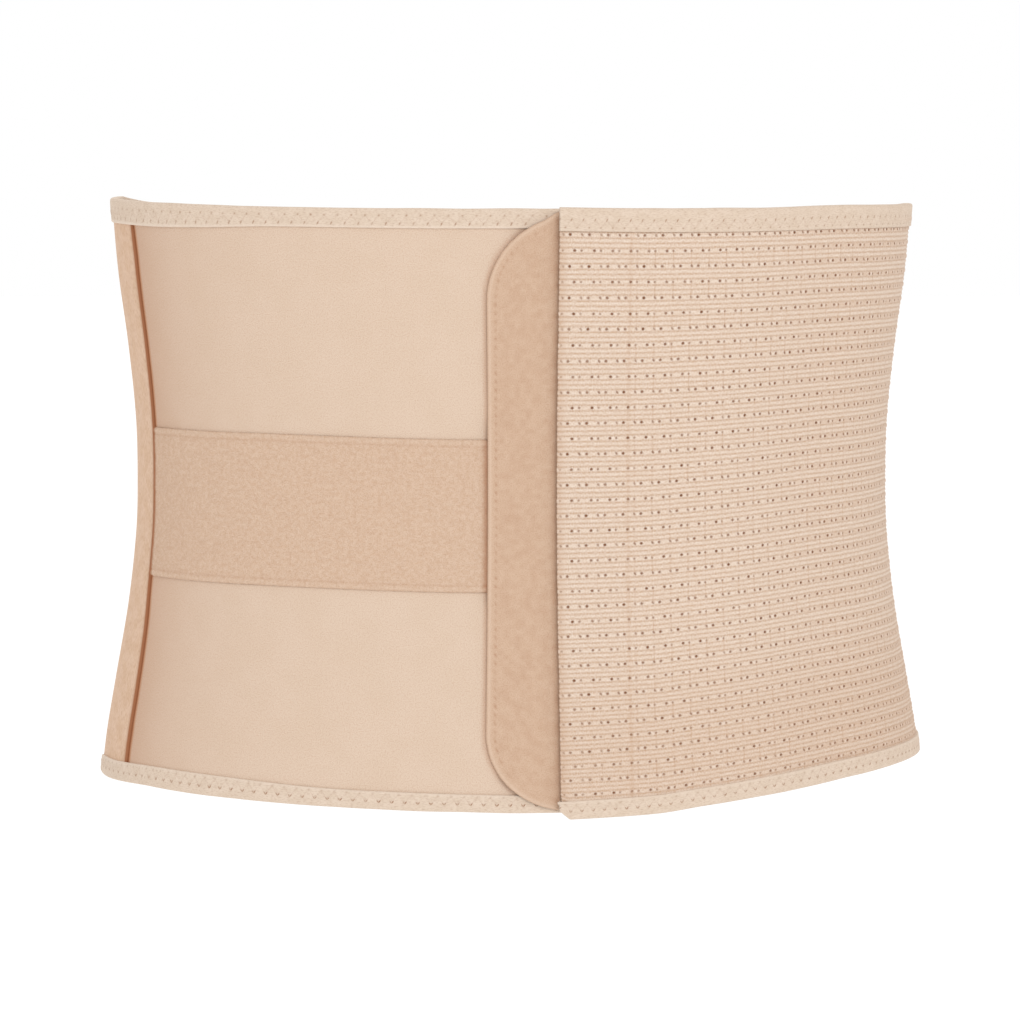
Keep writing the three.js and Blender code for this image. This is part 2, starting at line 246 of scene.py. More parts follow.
def cloth_points(around, height, out):
    """Points in metres at distances around, heights and distances out, given as arrays in mm."""
    around, height, out = np.broadcast_arrays(around, height, out)
    near_seam = bell((around + STRIP_SEAM) / SEAM_DRIFT_REACH)
    around = around + near_seam * table_value(SEAM_DRIFT, "drift", height / HEIGHT + 0.5)
    turn = np.sign(around) * np.interp(np.abs(around), WAIST_LENGTHS, TURNS)
    x, y = section_point(turn, height, out)
    return MM * np.stack([x, y, height], axis=-1)


# Edges along the waist, and layers out from the form
STRIP_END = STRIP_SEAM + STRIP_WIDTH
PANEL_START = -STRIP_SEAM + SEAM_GAP / 2
STRIP_START = -STRIP_END + SEAM_GAP / 2
STRIP_STOP = -STRIP_SEAM - SEAM_GAP / 2
ELASTIC_STOP = GIRTH - STRIP_END - SEAM_GAP / 2
PANEL_STOP = ELASTIC_EDGE + UNDERLAP
TAB_START = ELASTIC_EDGE - TAB_REACH
TAB_STOP = ELASTIC_EDGE + TAB_SEAM_ALLOWANCE
TAB_EDGE = TAB_START + TAB_INSET
TAPE_STACK = TAPE_THICKNESS + LAYER_GAP
BAND_OFFSET = PANEL_THICKNESS + LAYER_GAP
TAB_OFFSET = BAND_OFFSET + max(BAND_THICKNESS, TAPE_THICKNESS) + LAYER_GAP
ELASTIC_LIFT = TAB_OFFSET + TAB_THICKNESS + LAYER_GAP + TAPE_STACK


def smooth_step(t):
    """From 0 to 1 as t does, level at both ends."""
    t = np.clip(t, 0.0, 1.0)
    return t * t * (3 - 2 * t)


def elastic_offset(around):
    return ELASTIC_LIFT * (1 - smooth_step((around - PANEL_STOP - RAMP_START) / RAMP_LENGTH))


def no_offset(around):
    return np.zeros_like(around)


def left_top(around):
    return HEIGHT * table_value(LEFT_RIMS, "top", around / GIRTH)


def left_bottom(around):
    return HEIGHT * table_value(LEFT_RIMS, "bottom", around / GIRTH)


def elastic_top(around):
    return HEIGHT * table_value(ELASTIC_RIMS, "top", around / GIRTH)


def flap_cut(around):
    """How far the flap's lower corner is cut up from the rim."""
    return np.clip(ELASTIC_EDGE + FLAP_CHAMFER - around, 0.0, FLAP_CHAMFER)


def plain_elastic_bottom(around):
    return HEIGHT * table_value(ELASTIC_RIMS, "bottom", around / GIRTH)


def elastic_bottom(around):
    return plain_elastic_bottom(around) + flap_cut(around)


def patchy(u, v, cell, seed):
    """Smooth random values from -1 to 1 over two coordinates, in cells of the size given for each."""
    u, v = np.broadcast_arrays(u, v)
    column = u / cell[0]
    row = v / cell[1]
    left = np.floor(column).astype(int)
    low = np.floor(row).astype(int)
    first_column = left.min()
    first_row = low.min()
    shape = (left.max() - first_column + 2, low.max() - first_row + 2)
    lattice = np.random.default_rng(seed).uniform(-1, 1, shape)
    s = smooth_step(column - left)
    t = smooth_step(row - low)
    i = left - first_column
    j = low - first_row
    lower = lattice[i, j] * (1 - s) + lattice[i + 1, j] * s
    upper = lattice[i, j + 1] * (1 - s) + lattice[i + 1, j + 1] * s
    return lower * (1 - t) + upper * t


def grid_normals(points):
    """Unit normals of a grid of points, out of the side where columns run right and rows run up."""
    along = np.gradient(points, axis=0)
    up = np.gradient(points, axis=1)
    normals = np.cross(along, up)
    return normals / np.linalg.norm(normals, axis=-1, keepdims=True)


def quads(ids):
    """Quads of a grid of vertex numbers, columns first."""
    return np.stack([ids[:-1, :-1], ids[1:, :-1], ids[1:, 1:], ids[:-1, 1:]], axis=-1).reshape(-1, 4)


def perimeter(ids):
    """Column and row of each place along a grid's edge, once round."""
    right = ids.shape[0] - 1
    top = ids.shape[1] - 1
    bottom_side = [(i, 0) for i in range(right)]
    right_side = [(right, j) for j in range(top)]
    top_side = [(i, top) for i in range(right, 0, -1)]
    left_side = [(0, j) for j in range(top, 0, -1)]
    return bottom_side + right_side + top_side + left_side


def split_quads(ids, relief):
    """Triangles of a grid of vertex numbers, each quad cut along the diagonal with the bigger step."""
    a, b, c, d = ids[:-1, :-1], ids[1:, :-1], ids[1:, 1:], ids[:-1, 1:]
    rise = np.abs(relief[:-1, :-1] - relief[1:, 1:])
    fall = np.abs(relief[1:, :-1] - relief[:-1, 1:])
    along_rise = (rise > fall)[..., None]
    first = np.where(along_rise, np.stack([a, b, c], axis=-1), np.stack([a, b, d], axis=-1))
    second = np.where(along_rise, np.stack([a, c, d], axis=-1), np.stack([b, c, d], axis=-1))
    return np.concatenate([first.reshape(-1, 3), second.reshape(-1, 3)])


def rim_triangles(fine_ids, coarse_ids, keep_columns, keep_rows):
    """Triangles between the edges of a fine grid and a coarse one, which has only the kept lines."""
    fine = perimeter(fine_ids)
    coarse = perimeter(coarse_ids)
    place = {spot: k for k, spot in enumerate(fine)}
    stops = [place[keep_columns[i], keep_rows[j]] for i, j in coarse] + [len(fine)]
    inner = [coarse_ids[spot] for spot in coarse + coarse[:1]]
    outer = [fine_ids[spot] for spot in fine + fine[:1]]
    faces = []
    for k in range(len(coarse)):
        middle = (stops[k] + stops[k + 1]) // 2
        for j in range(stops[k], middle):
            faces.append((outer[j + 1], outer[j], inner[k]))
        faces.append((outer[middle], inner[k], inner[k + 1]))
        for j in range(middle, stops[k + 1]):
            faces.append((outer[j + 1], outer[j], inner[k + 1]))
    return np.array(faces)


def point_attribute(mesh, name, values):
    attribute = mesh.attributes.new(name, "FLOAT_VECTOR", "POINT")
    attribute.data.foreach_set("vector", values.astype(np.float32).ravel())


def scene_object(name, data):
    """A new object in the scene, which shows the mesh, light or camera given."""
    thing = bpy.data.objects.new(name, data)
    bpy.context.scene.collection.objects.link(thing)
    return thing


def mesh_object(name, points, four_sided, three_sided, cloth, normals=None, weave=None):
    """A smooth mesh with a "cloth" attribute on its points: around, height and shade.

    weave is another attribute, which places the pattern of the elastic's or a tape's material.
    """
    mesh = bpy.data.meshes.new(name)
    mesh.vertices.add(points.size // 3)
    mesh.vertices.foreach_set("co", points.astype(np.float32).ravel())
    corners = np.concatenate([four_sided.ravel(), three_sided.ravel()]).astype(np.int32)
    starts = np.concatenate(
        [np.arange(len(four_sided)) * 4, four_sided.size + np.arange(len(three_sided)) * 3]
    ).astype(np.int32)
    mesh.loops.add(len(corners))
    mesh.loops.foreach_set("vertex_index", corners)
    mesh.polygons.add(len(starts))
    mesh.polygons.foreach_set("loop_start", starts)
    mesh.polygons.foreach_set("use_smooth", np.ones(len(starts), bool))
    mesh.update(calc_edges=True)
    point_attribute(mesh, "cloth", cloth)
    if weave is not None:
        point_attribute(mesh, "weave", weave)
    if normals is not None:
        mesh.normals_split_custom_set_from_vertices(normals.astype(np.float32))
    return scene_object(name, mesh)


def every(count, step):
    """Every step-th number below count, with the last one."""
    kept = list(range(0, count - 1, step))
    kept.append(count - 1)
    return kept


def sheet_object(name, around, height, out, inside, shade, coarse=(6, 6), span=None, weave=None):
    """A closed sheet of cloth with a fine outer face and a coarser inner one.

    around, height, out and shade are grids with a column for each place along the waist. inside is the
    inner face's distance out, span the part of the columns that this piece takes of a longer sheet, and
    weave the elastic's own attribute.
    """
    around, height, out, shade = np.broadcast_arrays(around, height, out, shade)
    outer = cloth_points(around, height, out)
    outer_normals = grid_normals(outer)
    inner = cloth_points(around, height, inside)
    inner_normals = -grid_normals(inner)
    cloth = np.stack([around, height, shade], axis=-1)
    unshaded = cloth * np.array([1.0, 1.0, 0.0])
    first, last = span or (0, outer.shape[0] - 1)
    part = slice(first, last + 1)
    outer, outer_normals, inner, inner_normals, cloth, unshaded, relief = (
        grid[part] for grid in (outer, outer_normals, inner, inner_normals, cloth, unshaded, out)
    )
    keep_columns = every(outer.shape[0], coarse[0])
    keep_rows = every(outer.shape[1], coarse[1])
    kept = np.ix_(keep_columns, keep_rows)
    fine_ids = np.arange(outer.shape[0] * outer.shape[1]).reshape(outer.shape[:2])
    coarse_ids = fine_ids.size + np.arange(len(keep_columns) * len(keep_rows)).reshape(
        len(keep_columns), len(keep_rows)
    )
    both_faces = [
        np.concatenate([fine.reshape(-1, 3), plain[kept].reshape(-1, 3)])
        for fine, plain in ((outer, inner), (cloth, unshaded), (outer_normals, inner_normals))
    ]
    if weave is not None:
        weave = np.concatenate([weave[part].reshape(-1, 3), weave[part][kept].reshape(-1, 3)])
    edge = rim_triangles(fine_ids, coarse_ids, keep_columns, keep_rows)
    return mesh_object(
        name, both_faces[0], quads(coarse_ids)[:, ::-1],
        np.concatenate([split_quads(fine_ids, relief), edge]),
        both_faces[1], both_faces[2], weave,
    )


def steps_between(start, stop, step):
    """Even steps from start to stop, near the size given."""
    return np.linspace(start, stop, max(2, round((stop - start) / step) + 1))


def edge_roll(distance, reach):
    """From 0 at a cloth's edge to 1 at the reach in from it, as a quarter round."""
    t = np.clip(distance / reach, 0.0, 1.0)
    return np.sqrt(1 - (1 - t) ** 2)


# Shader helpers


def set_sockets(node, values):
    """Sets a shader node's inputs by their names."""
    for name, value in values.items():
        node.inputs[name].default_value = value


class Nodes:
    """Short calls for a material's node tree."""

    def __init__(self, name):
        self.material = bpy.data.materials.new(name)
        self.material.use_nodes = True
        self.tree = self.material.node_tree
        self.shader = self.tree.nodes["Principled BSDF"]

    def add(self, kind, **settings):
        node = self.tree.nodes.new(kind)
        for key, value in settings.items():
            setattr(node, key, value)
        return node

    def link(self, source, target):
        self.tree.links.new(source, target)

    def feed(self, socket, value):
        """Links a socket's value, or sets it where it is a plain number or colour."""
        if isinstance(value, bpy.types.NodeSocket):
            self.link(value, socket)
        else:
            socket.default_value = value

    def math(self, operation, first, second=0.0, third=0.0, clamp=False):
        node = self.add("ShaderNodeMath", operation=operation, use_clamp=clamp)
        self.feed(node.inputs[0], first)
        self.feed(node.inputs[1], second)
        self.feed(node.inputs[2], third)
        return node.outputs[0]

    def times(self, first, second):
        return self.math("MULTIPLY", first, second)

    def minus(self, first, second):
        return self.math("SUBTRACT", first, second)

    def fade(self, amount, value, *limits):
        """An amount that another value strengthens or weakens from its first limit to its second."""
        return self.times(amount, self.ranged(value, *limits))

    def clamped(self, first, second=1.0):
        """A product, kept from 0 to 1."""
        return self.math("MULTIPLY", first, second, clamp=True)

    def attribute(self, name):
        """The three numbers of a mesh's attribute."""
        attribute = self.add("ShaderNodeAttribute", attribute_name=name)
        split = self.add("ShaderNodeSeparateXYZ")
        self.link(attribute.outputs["Vector"], split.inputs[0])
        return split.outputs[0], split.outputs[1], split.outputs[2]

    def noise(self, cloth, stretch, roughness, detail=3.0):
        """A noise texture over the cloth, with its cycles a mm along and across."""
        join = self.add("ShaderNodeCombineXYZ")
        self.link(self.times(cloth[0], stretch[0]), join.inputs[0])
        self.link(self.times(cloth[1], stretch[1]), join.inputs[1])
        node = self.add("ShaderNodeTexNoise")
        self.link(join.outputs[0], node.inputs["Vector"])
        set_sockets(node, {"Scale": 1.0, "Detail": detail, "Roughness": roughness})
        return node.outputs[0]

    def cloudy(self, cloth, stretch, amount):
        """Soft unevenness of a cloth's colour, from 0 to the amount given."""
        return self.ranged(self.noise(cloth, stretch, 0.55), 0.35, 0.65, 0.0, amount)

    def mix(self, factor, first, second):
        node = self.add("ShaderNodeMix", data_type="RGBA")
        self.feed(node.inputs[0], factor)
        self.feed(node.inputs[6], first)
        self.feed(node.inputs[7], second)
        return node.outputs[2]

    def chance(self, first, second, seed):
        """A random number from 0 to 1 for each pair of whole numbers."""
        join = self.add("ShaderNodeCombineXYZ")
        self.link(self.math("ROUND", first), join.inputs[0])
        self.link(self.math("ROUND", second), join.inputs[1])
        join.inputs[2].default_value = seed
        node = self.add("ShaderNodeTexWhiteNoise", noise_dimensions="3D")
        self.link(join.outputs[0], node.inputs["Vector"])
        return node.outputs["Value"]

    def wrapped(self, value, period, scale):
        """Distance from the nearest whole number of periods, with its sign, times a scale."""
        return self.times(self.math("WRAP", value, period / 2, -period / 2), scale)

    def from_spot(self, along, down, wide, tall, lean=0.0):
        """Distance from a leaning oval spot's middle, which is 1 at its edge, from the distances in mm."""
        level = self.times(down, 1 / tall)
        side = self.times(self.math("MULTIPLY_ADD", down, -lean, along), 1 / wide)
        return self.math("SQRT", self.math("MULTIPLY_ADD", side, side, self.times(level, level)))

    def ranged(self, value, low, high, to_low=0.0, to_high=1.0):
        node = self.add("ShaderNodeMapRange", interpolation_type="SMOOTHSTEP")
        self.link(value, node.inputs[0])
        for k, number in enumerate((low, high, to_low, to_high)):
            node.inputs[k + 1].default_value = number
        return node.outputs[0]

    def finish_cloth(self, base, pale, roughness, sheen):
        """Sets the shader of a matt cloth, with a soft sheen from its fibres."""
        self.link(base, self.shader.inputs["Base Color"])
        set_sockets(self.shader, {
            "Roughness": roughness,
            "Specular IOR Level": 0.2,
            "Sheen Weight": sheen,
            "Sheen Roughness": 0.5,
            "Sheen Tint": pale,
        })

    def bump(self, height, distance):
        node = self.add("ShaderNodeBump")
        set_sockets(node, {"Strength": 1.0, "Distance": distance})
        self.link(height, node.inputs["Height"])
        self.link(node.outputs[0], self.shader.inputs["Normal"])


def colour(red, green, blue):
    """A linear colour from the usual 0 to 255 numbers."""
    return tuple(((x / 255 + 0.055) / 1.055) ** 2.4 for x in (red, green, blue)) + (1.0,)


def fabric(name, base, pale, deep, fibre, mottle, bump, sheen, roughness=0.9):
    """A knitted or brushed cloth.

    base, pale and deep are its colours on the flat, where fibres catch light, and down in grooves and
    eyelets. A point's shade mixes in deep, partly as painted shade, and a negative shade mixes in pale.
    fibre is the fine texture's scale along and across, mottle its cloudier unevenness, as a scale
    and an amount, and bump the relief in mm that the fibres add.
    """
    base, pale, deep = colour(*base), colour(*pale), colour(*deep)
    nodes = Nodes(name)
    cloth = nodes.attribute("cloth")
    fine = nodes.noise(cloth, fibre, 0.6)
    flat = nodes.mix(nodes.cloudy(cloth, (mottle[0], mottle[0]), mottle[1]), base, pale)
    speckled = nodes.mix(nodes.ranged(fine, 0.3, 0.6, 0.3, 0.0), flat, deep)
    lit = nodes.mix(nodes.clamped(cloth[2], -1.0), speckled, pale)
    shaded = nodes.mix(nodes.clamped(cloth[2]), lit, deep)
    nodes.finish_cloth(shaded, pale, roughness, sheen)
    nodes.bump(fine, bump * MM)
    return nodes.material


def plush_laminate():
    return fabric(
        "plush laminate",
        (206, 185, 165), (212, 192, 174), (160, 100, 58),
        (2.2, 2.2), (0.06, 0.3), 0.1, 0.12,
    )


def smooth_strip():
    return fabric(
        "smooth strip",
        (204, 173, 146), (211, 182, 158), (146, 90, 56),
        (1.6, 0.5), (0.15, 0.9), 0.08, 0.1, 0.85,
    )


def loop_pile():
    return fabric(
        "loop pile",
        (200, 171, 147), (212, 188, 167), (154, 102, 68),
        (2.0, 1.8), (0.6, 0.55), 0.35, 0.15,
    )


def brushed_tab():
    return fabric(
        "brushed tab",
        (197, 168, 144), (213, 189, 168), (150, 98, 64),
        (2.1, 2.1), (0.35, 0.12), 0.2, 0.15,
    )


def ribbed_elastic():
    """Ribs with rows of eyelet pairs, which the "weave" attribute places."""
    # Colours: groove for the knit's darker flecks, slits, frayed edge, seams (partly painted shade) and
    # darker bottom, and for painted shade in the grooves and along the rows; light for lighter cloth, sheen
    # and a painted highlight on the knots; hole for painted shade in the eyelets
    ridge = colour(216, 198, 181)
    light = colour(226, 212, 199)
    groove = colour(183, 146, 117)
    hole = colour(132, 84, 54)
    nodes = Nodes("ribbed elastic")
    cloth = nodes.attribute("cloth")
    pairs, rows, from_edge = nodes.attribute("weave")
    knit = nodes.noise(cloth, (1.9, 1.4), 0.65)
    ripple = nodes.noise(cloth, (0.75, 0.5), 0.5, 2.0)
    body = nodes.mix(nodes.cloudy(cloth, (0.3, 0.5), 0.4), ridge, light)
    body = nodes.mix(nodes.ranged(knit, 0.6, 0.35, 0.0, 0.45), body, groove)
    # Painted shade in the grooves between the ribs, which the mesh has too
    wandering = nodes.math("MULTIPLY_ADD", ripple, 0.08, nodes.minus(rows, 0.04))
    wandering = nodes.math("FRACT", nodes.math("MULTIPLY_ADD", knit, 0.04, wandering))
    from_groove = nodes.wrapped(nodes.minus(wandering, 0.53), GROOVE_SPACING, 1.0)
    grooves = nodes.ranged(nodes.math("ABSOLUTE", from_groove), 0.0, 0.13, 0.58, 0.0)
    grooves = nodes.fade(grooves, knit, 0.35, 0.65, 1.2, 0.6)
    ribbed = nodes.mix(grooves, body, groove)
    slit_from = nodes.minus(pairs, SLIT_PLACE / PAIR_PITCH)
    slit = nodes.math("ABSOLUTE", nodes.wrapped(slit_from, 1.0, PAIR_PITCH))
    slit = nodes.ranged(slit, 0.08, 0.4, 0.45, 0.0)
    below = nodes.math("WRAP", nodes.minus(rows, 1.0), 2.0, 0.0)
    slit = nodes.fade(slit, below, 1.0, 0.9)
    slit = nodes.fade(slit, from_edge, STITCHED_IN, STITCHED_IN + 4.0)
    slit = nodes.fade(slit, ripple, 0.35, 0.6, 0.25, 1.0)
    ribbed = nodes.mix(slit, ribbed, groove)
    # Painted shade along the eyelet rows, growing from 70 mm to 125 mm out from the edge, where the elastic
    # turns from the light
    from_row = nodes.times(nodes.math("ABSOLUTE", nodes.wrapped(rows, 1.0, 1.0)), ROW_PITCH)
    painted_row_shade = nodes.ranged(from_row, 0.4, 0.9, 0.3, 0.0)
    painted_row_shade = nodes.fade(painted_row_shade, from_edge, 70.0, 125.0)
    ribbed = nodes.mix(painted_row_shade, ribbed, groove)
    # Painted highlight on the raised knots between the eyelets of each pair
    for row, place in zip(KNOTS["row"], KNOTS["place"]):
        along = nodes.wrapped(nodes.minus(pairs, place / PAIR_PITCH), 1.0, PAIR_PITCH)
        down = nodes.wrapped(nodes.minus(rows, float(row)), 2.0, ROW_PITCH)
        knot = nodes.ranged(nodes.from_spot(along, down, 0.8, 0.7), 0.2, 1.2, 0.42, 0.0)
        ribbed = nodes.mix(knot, ribbed, light)
    frayed = nodes.ranged(from_edge, 0.2, 4.5, 0.8, 0.0)
    frayed = nodes.fade(frayed, knit, 0.45, 0.62)
    ribbed = nodes.mix(frayed, ribbed, groove)
    # Painted shade in the eyelets, which the mesh only dimples
    holes = 0.0
    for row, place, wide, tall, lean, dark in zip(*EYELETS.values()):
        pair = nodes.minus(pairs, place / PAIR_PITCH)
        level = nodes.minus(rows, float(row))
        along = nodes.wrapped(pair, 1.0, PAIR_PITCH)
        down = nodes.wrapped(level, 2.0, ROW_PITCH)
        spot = nodes.ranged(nodes.from_spot(along, down, wide, tall, lean), 0.3, 1.25, dark, 0.0)
        uneven = nodes.math("MULTIPLY_ADD", nodes.chance(pair, level, place), 0.4, 0.65)
        holes = nodes.math("MAXIMUM", nodes.times(spot, uneven), holes)
    holes = nodes.fade(holes, from_edge, 0.5, 2.5, 0.5, 1.0)
    pierced = nodes.mix(nodes.clamped(holes), ribbed, hole)
    shaded = nodes.mix(nodes.clamped(cloth[2]), pierced, groove)
    nodes.finish_cloth(shaded, light, 0.85, 0.06)
    relief = nodes.math("MULTIPLY_ADD", holes, -0.45, nodes.times(knit, 0.18))
    nodes.bump(nodes.math("MULTIPLY_ADD", grooves, -0.12, relief), MM)
    return nodes.material


def binding_tape(name, marks, lip):
    """Knit tape with a painted highlight along its lip and painted shade at the needle holes of its
    stitches, which the "weave" attribute places.
    """
    base = colour(205, 186, 167)
    light = colour(221, 204, 188)
    deep = colour(142, 100, 72)
    nodes = Nodes(name)
    cloth = nodes.attribute("cloth")
    stitches, row, from_lip = nodes.attribute("weave")
    knit = nodes.noise(cloth, (0.8, 2.6), 0.6)
    body = nodes.mix(nodes.cloudy(cloth, (0.2, 0.4), 0.3), base, light)
    body = nodes.mix(nodes.ranged(knit, 0.55, 0.3, 0.0, 0.3), body, deep)
    # Painted highlight along the tape's lip, where its free edge rolls
    body = nodes.mix(nodes.ranged(from_lip, 0.2, 1.3, lip, 0.0), body, light)
    # Painted shade where the thread dives into the needle holes
    for shift, aside, wide, tall, lean, dark in marks:
        number = nodes.minus(stitches, shift + aside / STITCH_PITCH)
        along = nodes.wrapped(number, 1.0, STITCH_PITCH)
        down = nodes.times(nodes.minus(row, shift * 2), STITCH_ROWS)
        mark = nodes.ranged(nodes.from_spot(along, down, wide, tall, lean), 0.3, 1.2, dark, 0.0)
        uneven = nodes.math("MULTIPLY_ADD", nodes.chance(number, number, shift + aside), 0.6, 0.55)
        body = nodes.mix(nodes.clamped(mark, uneven), body, deep)
    shaded = nodes.mix(nodes.clamped(cloth[2]), body, deep)
    nodes.finish_cloth(shaded, light, 0.85, 0.1)
    nodes.bump(knit, 0.12 * MM)
    return nodes.material


def sewing_thread():
    return fabric(
        "sewing thread",
        (203, 182, 164), (212, 192, 176), (156, 115, 87),
        (3.0, 3.0), (0.5, 0.4), 0.05, 0.1, 0.6,
    )


# Pieces


def finish_piece(piece, slot, material, nodes=(), flat=None, **sheet):
    """Gives a piece its material and the root body, and hides the parts of model.glb that it stands for.
    slot and flat, a sheet's size in mm, are not used.
    """
    piece.data.materials.append(material)
    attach(piece, "root")
    if nodes:
        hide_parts(*nodes)


def wrapped(value, period):
    """Distance from the nearest whole number of periods, with its sign."""
    return value - period * np.round(value / period)


def from_place(pairs, rows, place, row):
    """Distances along and down from the nearest eyelet or knot of one kind, in mm."""
    return wrapped(pairs - place / PAIR_PITCH, 1) * PAIR_PITCH, wrapped(rows - row, 2) * ROW_PITCH


def pair_place(pair):
    """Distance of a pair's first eyelet from the elastic's edge, in mm. The first pitches are wider."""
    return FIRST_PAIR + PAIR_PITCH * pair + EDGE_STRETCH * (1 - np.exp(-np.clip(pair, 0, None) / 0.7))


def elastic_columns():
    """Distances along the waist of the elastic's mesh columns, and their counts of eyelet pairs."""
    count = math.ceil((ELASTIC_STOP - ELASTIC_EDGE) / PAIR_PITCH)
    starts = np.arange(-2, count)[:, None]
    step = np.array(PAIR_COLUMNS)[None, :] / PAIR_PITCH
    pairs = (starts + step).ravel()
    places = (pair_place(starts) + step * (pair_place(starts + 1) - pair_place(starts))).ravel()
    places = places + ELASTIC_EDGE
    kept = places[(places > ELASTIC_EDGE + 0.9) & (places < ELASTIC_STOP - 0.3)]
    edge = ELASTIC_EDGE + np.array([0.0, 0.2, 0.6])
    columns = np.concatenate([edge, kept, [ELASTIC_STOP]])
    return columns, np.interp(columns, places, pairs)


def elastic_rows():
    """The elastic's mesh rows, from the bottom up: pitches down from the rim, and rib share."""
    cut = TAPE_STACK / ROW_PITCH
    rows = [(cut, 0.5), (0.9, 0.5)]
    for k in range(-1, int(ROWS_HIGH - FIRST_EYELETS)):
        for place, rib in zip(RIB_ROWS["place"], RIB_ROWS["rib"]):
            down = FIRST_EYELETS + k + place
            if 1.35 < down < ROWS_HIGH - 1.1:
                rows.append((down, rib))
    rows.append((ROWS_HIGH - 0.8, 0.5))
    rows.append((ROWS_HIGH - cut, 0.5))
    return np.array(rows[::-1])


def elastic_relief(pairs, rows, ribs):
    """How far each point of the elastic lies below its ribs, in mm."""
    low = np.broadcast_to(RIB_DEPTH * (1 - ribs), (pairs + rows).shape).copy()
    for row, place, dark in zip(EYELETS["row"], EYELETS["place"], EYELETS["dark"]):
        along, down = from_place(pairs, rows, place, row)
        low += EYELET_DEPTH * dark * np.exp(-(along**2 + down**2) / 0.42**2)
    for row, place in zip(KNOTS["row"], KNOTS["place"]):
        along, down = from_place(pairs, rows, place, row)
        low -= KNOT_HEIGHT * np.exp(-((along / 0.7) ** 2 + (down / 0.55) ** 2))
    return low


def even_pitch(places, height):
    """Distances along the waist that keep the elastic's pitch even where the form is wider."""
    length = ELASTIC_STOP - ELASTIC_EDGE
    share = (places - ELASTIC_EDGE) / length
    width = table_value(FORM_SECTIONS, "width", height / HEIGHT + 0.5)
    return places - length * (1 - 1 / width) * 0.9 * np.sin(math.pi * share) / math.pi


def elastic_panel(material):
    """The ribbed elastic with its eyelets, in four pieces that meet edge to edge."""
    columns, pairs = elastic_columns()
    down, ribs = elastic_rows().T
    places = columns[:, None]
    rows = down[None, :] - FIRST_EYELETS
    share = table_value(ROW_PLACES, "share", down)[None, :]
    rough_height = elastic_top(places) * (1 - share) + plain_elastic_bottom(places) * share
    around = even_pitch(places, rough_height)
    height = elastic_top(around) * (1 - share) + plain_elastic_bottom(around) * share
    lifted = np.clip((down - (ROWS_HIGH - 2.0)) / 1.5, 0.0, 1.0)
    height = height + flap_cut(places) * lifted[None, :]
    height = height + 0.14 * patchy(places, down[None, :], (23.0, 1.3), 11)
    low = elastic_relief(pairs[:, None], rows, ribs[None, :])
    from_edge = places - ELASTIC_EDGE
    around = around + 0.15 * patchy(places, down[None, :], (11.0, 1.0), 12)
    around = around + 0.25 * (1 - edge_roll(from_edge, 1.0)) * (low > RIB_DEPTH / 2)
    around = np.clip(around, ELASTIC_EDGE, ELASTIC_STOP)
    base = elastic_offset(around)
    worn = 0.03 * patchy(around, height, (1.9, 1.5), 13) + 0.02 * patchy(around, height, (0.9, 0.8), 14)
    sewn = bell((from_edge - STITCHED_IN) / 0.7)
    body = ELASTIC_THICKNESS + 0.1 - low + worn - 0.1 * sewn
    body = body * (0.55 + 0.45 * edge_roll(from_edge, 1.2))
    body = body * (0.45 + 0.55 * np.clip((ELASTIC_STOP - places) / SEAM_BEVEL, 0.0, 1.0))
    # Darker along the stitches that hold the tab, at the side seam, partly its own stitching and partly
    # painted shade in its groove, and towards the bottom
    seam = bell((ELASTIC_STOP - places) / 1.6)
    lower_end = 0.18 * smooth_step((share - 0.7) / 0.2)
    shade = np.clip(0.25 * sewn + 0.8 * seam + lower_end, 0.0, 1.0)
    weave = np.stack(np.broadcast_arrays(pairs[:, None], rows, from_edge), axis=-1)
    ends = np.linspace(0, len(columns) - 1, 5).astype(int)
    names = ("elastic_front", "elastic_right", "elastic_back", "elastic_left")
    for name, first, last in zip(names, ends[:-1], ends[1:]):
        piece = sheet_object(name, around, height, base + body, base, shade, (10, 8), (first, last), weave)
        finish_piece(
            piece, "ribbed_elastic", material, ["elastic_panel"],
            flat=(columns[last] - columns[first], HEIGHT), held="stretched",
        )


def painted_contact_shadow(distance, amount, reach):
    """Painted warm shadow beside an edge that lies on a cloth, by the distance from it, negative under it.
    """
    return amount * (1 - smooth_step((distance - 0.4) / reach))


def seam_shade(from_seam):
    """Darkness of the groove at a seam, on each side of it: partly the seam's own dark stitching, partly
    painted shade in the groove.
    """
    return 0.95 * (1 - smooth_step((from_seam - 1.3) / 1.4))


def between_tapes(places, rows):
    """Places and heights of a grid over one of the left sheets, from the lower tape to the upper one."""
    low = (left_bottom(places) + TAPE_STACK)[:, None]
    high = (left_top(places) - TAPE_STACK)[:, None]
    height = low + (high - low) * np.linspace(0, 1, rows)[None, :]
    return np.broadcast_to(places[:, None], height.shape), height


